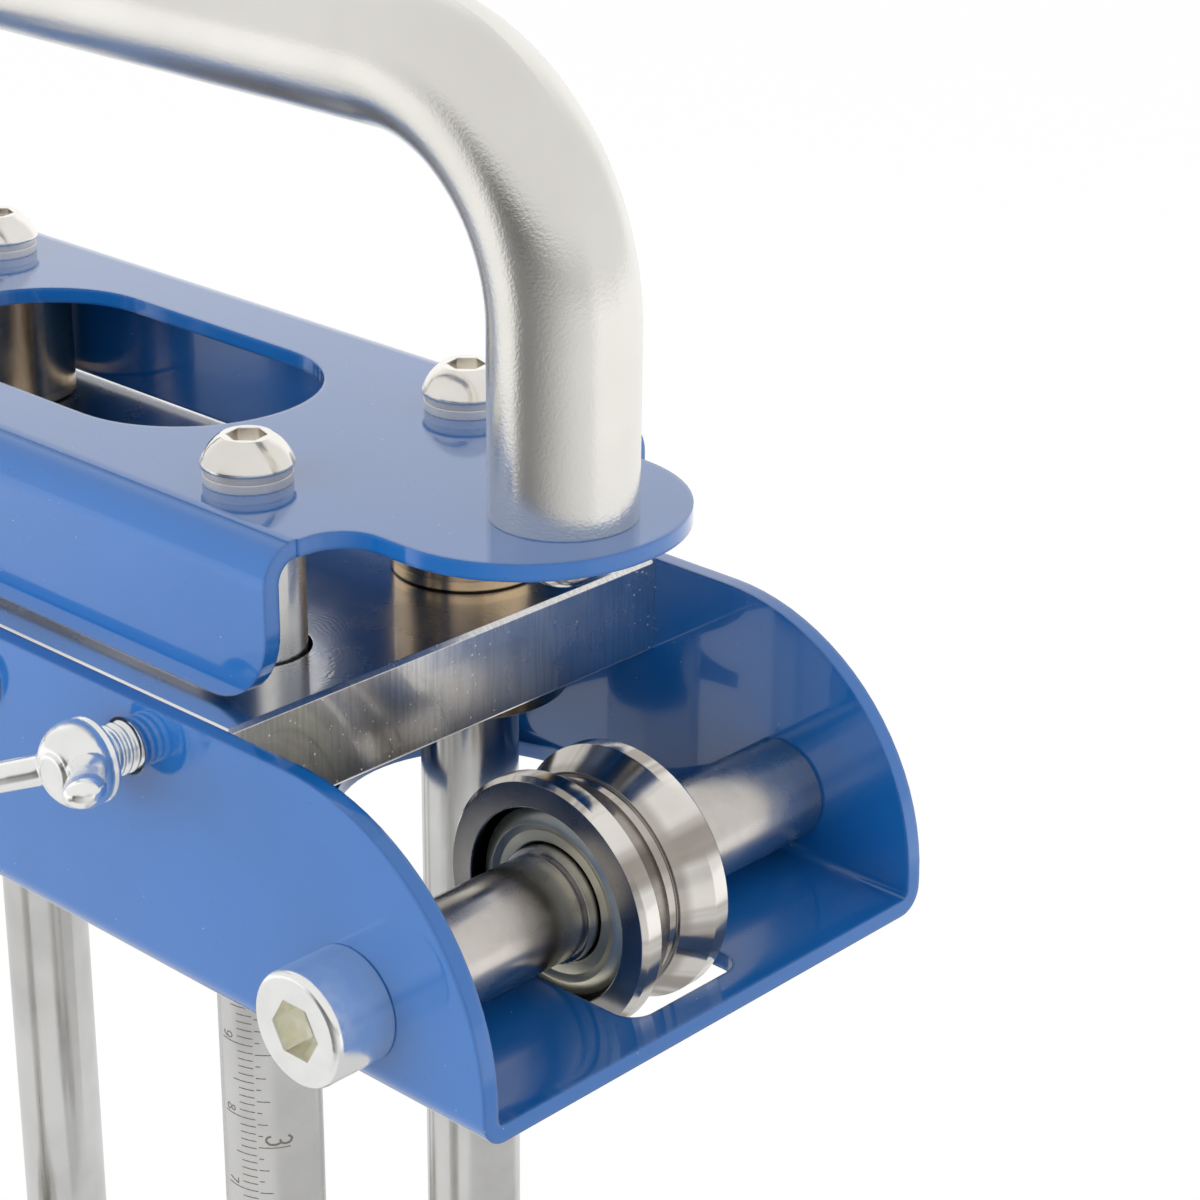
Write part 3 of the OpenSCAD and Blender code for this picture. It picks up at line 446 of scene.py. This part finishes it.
def floor():
    """A white floor. Only what reflects it sees that it is dark in front of the object, with painted
    shade near the object and on a patch beside it.
    """
    s = Shader("floor_white")
    path, reflected = s.rays()
    seen = s.math("MAXIMUM", path["Is Camera Ray"], reflected)
    far = s.vmath("LENGTH", s.coords)
    spot = s.vmath("NORMALIZE", s.vmath("MULTIPLY", s.coords, (1.0, 1.0, 0.0)))
    dark = s.math("MULTIPLY", dark_stretch(s, spot), s.ramp(far, 0.16, 0.30))
    # Painted shade: a grey patch on the floor beside the object, seen by reflections only.
    shade_patch = s.math("MULTIPLY", s.ramp(s.vmath("DOT_PRODUCT", spot, SHADE_PATCH_WAY), 0.45, 0.75),
                  s.ramp(far, 0.46, 0.36, 0.0, 0.45))
    # Painted shadow of the object: the floor is darker near it, for reflections only.
    dark = s.math("MAXIMUM", s.math("MAXIMUM", dark, shade_patch), s.ramp(far, 0.48, 0.32, 0.0, 0.26))
    dark = s.math("MULTIPLY", dark, reflected)
    diffuse = s.add("BsdfDiffuse")
    s.put(diffuse.inputs[0], (0.90, 0.90, 0.90))
    glow = s.add("Emission")
    s.put(glow.inputs[0], (1.0, 1.0, 1.0))
    s.put(glow.inputs[1], s.math("SUBTRACT", 1.06, dark))
    blend = s.add("MixShader")
    s.put(blend.inputs[0], s.math("ADD", s.math("MULTIPLY", seen, 0.85),
                                  s.math("MULTIPLY", reflected, 0.10)))
    s.put(blend.inputs[1], diffuse.outputs[0])
    s.put(blend.inputs[2], glow.outputs[0])
    s.put(s.out.inputs[0], blend.outputs[0])
    mesh = bpy.data.meshes.new("floor")
    reach = 6.0
    mesh.from_pydata([(-reach, -reach, 0), (reach, -reach, 0), (reach, reach, 0),
                      (-reach, reach, 0)], [], [(0, 1, 2, 3)])
    mesh.materials.append(s.material)
    plane = bpy.data.objects.new("floor", mesh)
    bpy.context.scene.collection.objects.link(plane)


def world():
    """A white room, dimmer overhead. Reflections see a dark stretch in front and a window behind."""
    studio = bpy.data.worlds.new("studio")
    bpy.context.scene.world = studio
    studio.use_nodes = True
    s = Shader("studio_nodes", studio.node_tree)
    height = s.xyz(s.coords)[2]
    path, reflected = s.rays()
    level = s.vmath("NORMALIZE", s.vmath("MULTIPLY", s.coords, (1.0, 1.0, 0.0)))
    dark = s.math("MULTIPLY", dark_stretch(s, level), s.ramp(height, 0.35, 0.10))
    mirrored = s.math("SUBTRACT", 1.0, dark)
    window = s.ramp(s.vmath("DOT_PRODUCT", level, WINDOW_WAY), 0.55, 0.85)
    window = s.math("MULTIPLY", window, s.ramp(height, 0.85, 0.60))
    mirrored = s.math("ADD", mirrored, s.math("MULTIPLY", window, 0.30))
    lighting = s.ramp(height, 0.05, 0.85, 1.45, 0.60)
    strength = s.math("ADD", s.math("MULTIPLY", mirrored, reflected),
                      s.math("MULTIPLY", lighting, s.math("SUBTRACT", 1.0, reflected)))
    strength = s.math("MAXIMUM", strength, path["Is Camera Ray"])
    back = s.add("Background")
    s.put(back.inputs["Strength"], strength)
    s.put(s.out.inputs[0], back.outputs[0])


def lamp(name, place, target, size, watts):
    data = bpy.data.lights.new(name, "AREA")
    data.shape = "RECTANGLE"
    data.size, data.size_y = size
    data.energy = watts
    light = bpy.data.objects.new(name, data)
    bpy.context.scene.collection.objects.link(light)
    light.location = place
    aim = Vector(target) - Vector(place)
    light.rotation_mode = "QUATERNION"
    light.rotation_quaternion = aim.to_track_quat("-Z", "Y")
    light.visible_glossy = False


def camera():
    """The photograph's view, from a camera fitted to its edges."""
    yaw, pitch, roll = (math.radians(angle) for angle in CAMERA_TURN)
    place = Vector(CAMERA_PLACE) * MM + Vector((0, 0, block_high.z))
    ahead = Vector((-math.sin(yaw) * math.cos(pitch), math.cos(yaw) * math.cos(pitch),
                    -math.sin(pitch)))
    level = Vector((math.cos(yaw), math.sin(yaw), 0))
    upward = level.cross(ahead)
    right = level * math.cos(roll) + upward * math.sin(roll)
    up = upward * math.cos(roll) - level * math.sin(roll)
    data = bpy.data.cameras.new("camera")
    data.sensor_width = 36.0
    data.lens = FOCAL_PIXELS / PHOTO_PIXELS * data.sensor_width
    data.clip_start, data.clip_end = 0.01, 50.0
    view = bpy.data.objects.new("camera", data)
    turn = Matrix((right, up, -ahead)).transposed()
    view.matrix_world = Matrix.Translation(place) @ turn.to_4x4()
    bpy.context.scene.collection.objects.link(view)
    bpy.context.scene.camera = view


# The fitted camera: its place over the block's top in millimetres, its yaw, downward pitch and
# roll in degrees, and its focal length in pixels of the photograph's width
CAMERA_PLACE = (286.294, -219.227, 139.343)
CAMERA_TURN = (42.962, 23.123, 0.525)
FOCAL_PIXELS = 3058.262
PHOTO_PIXELS = 1200
# Which way the dark stretch in front of the object lies, and which way is to its right
DARK_WAY = (0.035, -0.999, 0.0)
DARK_RIGHT = (0.999, 0.035, 0.0)
# The direction of a grey patch of painted shade on the floor beside the object, seen by reflections
# only
SHADE_PATCH_WAY = (0.97, 0.24, 0.0)
# The direction of the studio's bright window, behind the object
WINDOW_WAY = (-0.68, 0.73, 0.0)

bpy.context.scene.view_settings.view_transform = "Standard"
floor()
world()
lamp("front_light", (-0.35, -1.0, 0.45), (0, 0, 0.15), (1.0, 0.8), 5.0)
lamp("end_light", (1.0, 0.30, 0.55), (0, 0, 0.15), (0.8, 0.8), 2.0)
camera()


# Pieces

def new_object(name, mesh, material, body):
    mesh.materials.append(material)
    piece = bpy.data.objects.new(name, mesh)
    bpy.context.scene.collection.objects.link(piece)
    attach(piece, body)
    return piece


DIGITS = {
    "0": [[(0.5, 0), (0.15, 0.2), (0.05, 0.5), (0.15, 0.8), (0.5, 1), (0.85, 0.8), (0.95, 0.5),
           (0.85, 0.2), (0.5, 0)]],
    "1": [[(0.15, 0.8), (0.5, 1), (0.5, 0)]],
    "2": [[(0.08, 0.78), (0.25, 0.96), (0.6, 1), (0.9, 0.82), (0.88, 0.58), (0.05, 0),
           (0.95, 0)]],
    "3": [[(0.08, 0.85), (0.4, 1), (0.8, 0.92), (0.9, 0.74), (0.75, 0.57), (0.4, 0.53)],
          [(0.75, 0.55), (0.95, 0.38), (0.9, 0.14), (0.55, 0), (0.2, 0.04), (0.03, 0.2)]],
    "4": [[(0.72, 0), (0.72, 1), (0.02, 0.3), (0.98, 0.3)]],
    "5": [[(0.9, 1), (0.2, 1), (0.12, 0.55), (0.5, 0.64), (0.88, 0.5), (0.93, 0.22), (0.6, 0),
           (0.2, 0.02), (0.03, 0.16)]],
    "6": [[(0.85, 0.92), (0.5, 1), (0.18, 0.8), (0.05, 0.4), (0.15, 0.1), (0.5, 0), (0.85, 0.1),
           (0.95, 0.32), (0.8, 0.55), (0.45, 0.6), (0.12, 0.45)]],
    "7": [[(0.05, 1), (0.95, 1), (0.4, 0)]],
    "8": [[(0.5, 0.54), (0.17, 0.66), (0.13, 0.86), (0.5, 1), (0.87, 0.86), (0.83, 0.66),
           (0.5, 0.54), (0.1, 0.4), (0.05, 0.15), (0.5, 0), (0.95, 0.15), (0.9, 0.4),
           (0.5, 0.54)]],
    "9": [[(0.15, 0.08), (0.5, 0), (0.82, 0.2), (0.95, 0.6), (0.85, 0.9), (0.5, 1), (0.15, 0.9),
           (0.05, 0.68), (0.2, 0.45), (0.55, 0.4), (0.88, 0.55)]],
}


# The scale, in millimetres. The centimetre ticks end and the inch ticks start at these arc
# lengths from the rod's front line
CM_END = 3.1
INCH_START = 3.35
# Every how many millimetres or sixteenths of an inch a tick stands, and its length
CM_TICKS = [(10, 4.6), (5, 2.9), (1, 2.05)]
INCH_TICKS = [(16, 3.85), (8, 2.2), (4, 1.6), (2, 1.2), (1, 0.6)]
TICK_WIDTH = 0.12
# How far the marks stand off the rod, and the room that a figure needs under the scale's end
MARK_LIFT = 0.012
FIGURE_ROOM = 3
INCH = 25.4
# The figures' places along the arc, their sizes, how narrow they are and the width of a stroke
CM_FIGURE = dict(arc=-1.2, size=1.5, narrow=0.54, width=0.15)
INCH_FIGURE = dict(arc=4.25, size=3.2, narrow=0.41, width=0.28)
# How far a figure stands over its tick, and the step from one digit to the next
FIGURE_LIFT = 0.35
DIGIT_STEP = 1.3


def rod_scale(rod_x, rod_y):
    """Centimetres on the left and inches on the right, as thin dark strips on a front rod."""
    mesh = bpy.data.meshes.new("scale")
    made = bmesh.new()
    radius = ROD_R + MARK_LIFT * MM

    def on_rod(angle, height):
        return (rod_x + radius * math.sin(angle), rod_y - radius * math.cos(angle), height)

    def strip(a, b, width):
        """A stroke from a to b, each an arc length from the front line and a height."""
        along = Vector((b[0] - a[0], b[1] - a[1]))
        if along.length == 0:
            return
        across = Vector((-along.y, along.x)).normalized() * width / 2
        steps = max(1, math.ceil(abs(along.x) / (0.5 * MM)))
        rows = []
        for i in range(steps + 1):
            middle = Vector(a) + along * i / steps
            rows.append([made.verts.new(on_rod((middle.x + k * across.x) / ROD_R,
                                               middle.y + k * across.y)) for k in (-1, 1)])
        for low, high in zip(rows, rows[1:]):
            made.faces.new((low[0], high[0], high[1], low[1]))

    def figure(number, height, arc, size, narrow, width):
        """A number lying on its right side over a height: its top along +arc, reading down."""
        arc, size, width = arc * MM, size * MM, width * MM
        for place, letter in enumerate(reversed(str(number))):
            start = height + FIGURE_LIFT * MM + (place * DIGIT_STEP + 1.0) * narrow * size
            for stroke in DIGITS[letter]:
                points = [(arc + y * size, start - x * narrow * size) for x, y in stroke]
                for a, b in zip(points, points[1:]):
                    strip(a, b, width)

    def row(step, ticks, shape, arc, way):
        """A row of ticks from the scale's zero up, from one arc to one side, with its figures."""
        whole = ticks[0][0]
        for i in range(int((SCALE_TOP - ZERO_Z) / step) + 1):
            height = ZERO_Z + i * step
            length = next(size for every, size in ticks if i % every == 0)
            ends = sorted((arc * MM, (arc + way * length) * MM))
            strip((ends[0], height), (ends[1], height), TICK_WIDTH * MM)
            if i % whole == 0 and height + FIGURE_ROOM * MM < SCALE_TOP:
                figure(i // whole, height, **shape)

    row(MM, CM_TICKS, CM_FIGURE, CM_END, -1)
    row(INCH / 16 * MM, INCH_TICKS, INCH_FIGURE, INCH_START, 1)
    bmesh.ops.recalc_face_normals(made, faces=made.faces)
    made.to_mesh(mesh)
    made.free()
    return mesh


def loft(made, rings):
    """A closed body through rings of points. The first and the last ring are single points."""
    rows = [[made.verts.new(point) for point in ring] for ring in rings]
    for low, high in zip(rows, rows[1:]):
        count = max(len(low), len(high))
        for i in range(count):
            corners = [low[i % len(low)], low[(i + 1) % len(low)],
                       high[(i + 1) % len(high)], high[i % len(high)]]
            made.faces.new(list(dict.fromkeys(corners)))


def circle(radius, height, turns=64):
    if radius == 0:
        return [(0, 0, height)]
    return [(radius * math.cos(math.tau * i / turns), radius * math.sin(math.tau * i / turns),
             height) for i in range(turns)]


# Radius and height of the wing bolt's hub over its foot: collar, groove, ball, crease, flat end
HUB = [(0, 0), (4.55, 0), (4.88, 0.12), (4.95, 0.35), (4.90, 0.62), (4.62, 0.82), (4.58, 0.92),
       (4.78, 1.10), (4.93, 1.50), (4.97, 1.95), (4.93, 2.55), (4.78, 3.15), (4.50, 3.80),
       (4.10, 4.40), (3.60, 4.92), (3.05, 5.30), (2.62, 5.48), (2.50, 5.40), (2.42, 5.40),
       (2.28, 5.62), (2.05, 5.72), (0, 5.74)]
# Centre line of a wing from root to tip, with its half width and half thickness there
WING = [((1.2, 1.9), 1.7, 1.6), ((2.6, 2.9), 2.1, 1.85), ((4.6, 4.2), 2.0, 1.8),
        ((7.0, 6.0), 1.95, 1.75), ((9.6, 8.1), 2.1, 1.7), ((11.9, 9.8), 2.3, 1.7),
        ((13.2, 10.8), 2.25, 1.62), ((14.0, 11.45), 1.8, 1.35), ((14.5, 11.85), 1.05, 0.8)]
WING_END = (14.65, 12.0)
WING_SIDES = 28
# The forged body's remeshing size
VOXEL = 0.16
# The thread, and how far it reaches into the hub
THREAD_R = 3.0
THREAD_DEPTH = 0.55
THREAD_PITCH = 1.0
THREAD_STEP = 0.125
THREAD_SIDES = 48
THREAD_ROOT = 0.3
# The share of the pitch over which a thread's flank falls, and the slope of the chamfered tip
FLANK_SHARE = 0.44
TIP_SLOPE = 0.9


def wing_bolt_mesh(shank):
    """A forged wing bolt with its axis on Z and the hub's foot at 0, its thread running down."""
    body = bmesh.new()
    loft(body, [circle(radius, height) for radius, height in HUB])
    for way in (-1, 1):
        rings = [[(way * WING[0][0][0] * 0.5, 0, WING[0][0][1])]]
        for index, ((x, z), half_width, half_thick) in enumerate(WING):
            before = WING[max(index - 1, 0)][0]
            after = WING[min(index + 1, len(WING) - 1)][0]
            along = Vector((after[0] - before[0], 0, after[1] - before[1])).normalized()
            across = Vector((-along.z, 0, along.x))
            ring = []
            for step in range(WING_SIDES):
                angle = math.tau * step / WING_SIDES
                point = (Vector((x, 0, z)) + across * half_width * math.cos(angle)
                         + Vector((0, 1, 0)) * half_thick * math.sin(angle))
                ring.append((way * point.x, point.y, point.z))
            rings.append(ring)
        rings.append([(way * WING_END[0], 0, WING_END[1])])
        loft(body, rings)
    bmesh.ops.recalc_face_normals(body, faces=body.faces)
    rough = bpy.data.meshes.new("wing_bolt_rough")
    body.to_mesh(rough)
    body.free()
    holder = bpy.data.objects.new("wing_bolt_rough", rough)
    bpy.context.scene.collection.objects.link(holder)
    remesh = holder.modifiers.new("remesh", "REMESH")
    remesh.mode = "VOXEL"
    remesh.voxel_size = VOXEL
    smooth = holder.modifiers.new("smooth", "SMOOTH")
    smooth.factor = 0.5
    smooth.iterations = 4
    bpy.context.view_layer.update()
    graph = bpy.context.evaluated_depsgraph_get()
    forged = bpy.data.meshes.new_from_object(holder.evaluated_get(graph))
    bpy.data.objects.remove(holder)

    whole = bmesh.new()
    whole.from_mesh(forged)
    rings = [[(0, 0, -shank)]]
    steps = math.ceil((shank + THREAD_ROOT) / THREAD_STEP)
    for step in range(steps + 1):
        height = -shank + (shank + THREAD_ROOT) * step / steps
        ring = []
        for side in range(THREAD_SIDES):
            wave = (height / THREAD_PITCH + side / THREAD_SIDES) % 1.0
            depth = THREAD_DEPTH * max(0.0, 1 - abs(wave - 0.5) / FLANK_SHARE)
            depth = max(depth, THREAD_DEPTH - (height + shank) * TIP_SLOPE)
            radius = THREAD_R - depth
            angle = math.tau * side / THREAD_SIDES
            ring.append((radius * math.cos(angle), radius * math.sin(angle), height))
        rings.append(ring)
    rings.append([(0, 0, THREAD_ROOT)])
    loft(whole, rings)
    bmesh.ops.recalc_face_normals(whole, faces=whole.faces)
    mesh = bpy.data.meshes.new("wing_bolt")
    whole.to_mesh(mesh)
    whole.free()
    mesh.transform(Matrix.Scale(MM, 4))
    mesh.shade_smooth()
    return mesh


# The turned wheel, in millimetres: its bore, the bevels of its recess and rim, where the rim's
# land ends, and the groove's bottom as radius and distance from the middle
WHEEL_BORE_R = 9.2
RECESS_BEVEL = 0.15
WHEEL_BEVEL = 0.7
LAND_Y = 4.45
GROOVE = [(12.95, 0.85), (12.6, 0.8)]
# A shield's sheet, with its raised rim, as radius and distance from the wheel's middle
SHIELD_SHEET = [(7.05, 5.25), (8.5, 5.25), (9.2, 5.6), (9.6, 5.5), (10.2, 5.1), (10.9, 4.9),
                (10.95, 5.25), (10.4, 5.5), (9.75, 5.95), (9.3, 6.08), (8.9, 5.95),
                (8.45, 5.68), (7.2, 5.62), (7.05, 5.5)]
# The room round the axle in the sleeves
SLEEVE_ROOM = 0.2
# An edge whose two faces meet at more than this angle stays sharp, in degrees
SHARP = 28


def turned(sections, turns=128):
    """Rings turned about Y, each from a closed list of radius and distance along Y, in millimetres."""
    made = bmesh.new()
    for section in sections:
        rows = []
        for turn in range(turns):
            angle = math.tau * turn / turns
            rows.append([made.verts.new((radius * math.cos(angle), along, radius * math.sin(angle)))
                         for radius, along in section])
        for low, high in zip(rows, rows[1:] + rows[:1]):
            for i in range(len(section)):
                j = (i + 1) % len(section)
                made.faces.new((low[i], low[j], high[j], high[i]))
    bmesh.ops.recalc_face_normals(made, faces=made.faces)
    mesh = bpy.data.meshes.new("turned")
    made.to_mesh(mesh)
    made.free()
    mesh.transform(Matrix.Scale(MM, 4))
    mesh.shade_smooth()
    mesh.set_sharp_from_angle(angle=math.radians(SHARP))
    return mesh


def mirrored(section):
    return [(radius, -along) for radius, along in reversed(section)]


def wheel_mesh():
    """A grooved wheel: bore, deep recess, ground face, bevel, land, flank and relief channel."""
    face, outer, recess = WHEEL_Y / MM, WHEEL_R / MM, RECESS_R / MM
    floor_y = RECESS_Y / MM
    half = [(WHEEL_BORE_R, floor_y), (recess, floor_y), (recess, face - RECESS_BEVEL),
            (recess + RECESS_BEVEL, face), (outer - 0.65, face), (outer - 0.55, face - 0.02),
            (outer - 0.02, face - 0.6), (outer, face - WHEEL_BEVEL), (outer, LAND_Y),
            (outer - 0.12, LAND_Y - 0.15), *GROOVE]
    return turned([half + mirrored(half)])


def shields_mesh():
    """The two shields: thin dished sheets with a raised rim, sunk in the wheel's recesses."""
    return turned([SHIELD_SHEET, mirrored(SHIELD_SHEET)])


def sleeves_mesh():
    """The two spacer sleeves of an axle, with bevelled ends."""
    outer, near, far = SLEEVE_R / MM, WHEEL_Y / MM, WALL_INSIDE_Y / MM
    bore = AXLE_R / MM + SLEEVE_ROOM
    tube = [(bore, near), (outer - 0.5, near), (outer - 0.35, near + 0.08),
            (outer - 0.05, near + 0.42), (outer, near + 0.6), (outer, far - 0.3),
            (outer - 0.3, far), (bore, far)]
    return turned([tube, mirrored(tube)])


for side, sign in (("right", 1), ("left", -1)):
    at_axle = Matrix.Translation((sign * WHEEL_X, 0, WHEEL_Z))
    for name, mesh, material, body, slot, node in (
            ("turned_wheel", wheel_mesh(), WHEEL, f"wheel_{side}", "wheel_steel", "groove_wheel"),
            ("dished_shields", shields_mesh(), SHIELD, f"wheel_{side}", "shield_zinc",
             "wheel_shields"),
            ("bevelled_sleeves", sleeves_mesh(), SLEEVE, "carriage", "sleeve_steel",
             "axle_sleeves")):
        mesh.transform(at_axle)
        piece = new_object(f"{name}_{side}", mesh, material, body)
        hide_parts(f"{node}_{side}")
    new_object(f"scale_marks_{side}", rod_scale(sign * ROD_X, -ROD_Y), MARKS, "frame")
    foot = WALL_Y - WING_STANDOFF
    piece = new_object(f"forged_wing_{side}", wing_bolt_mesh((WING_TIP_Y - foot) / MM), BOLT,
                       f"wing_{side}")
    piece.matrix_world = (Matrix.Translation((sign * ROD_X, foot, BLOCK_MID_Z))
                          @ Matrix.Rotation(math.radians(90), 4, "X")
                          @ Matrix.Rotation(math.radians(WING_TURN), 4, "Z"))
    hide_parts(f"wing_bolt_{side}")
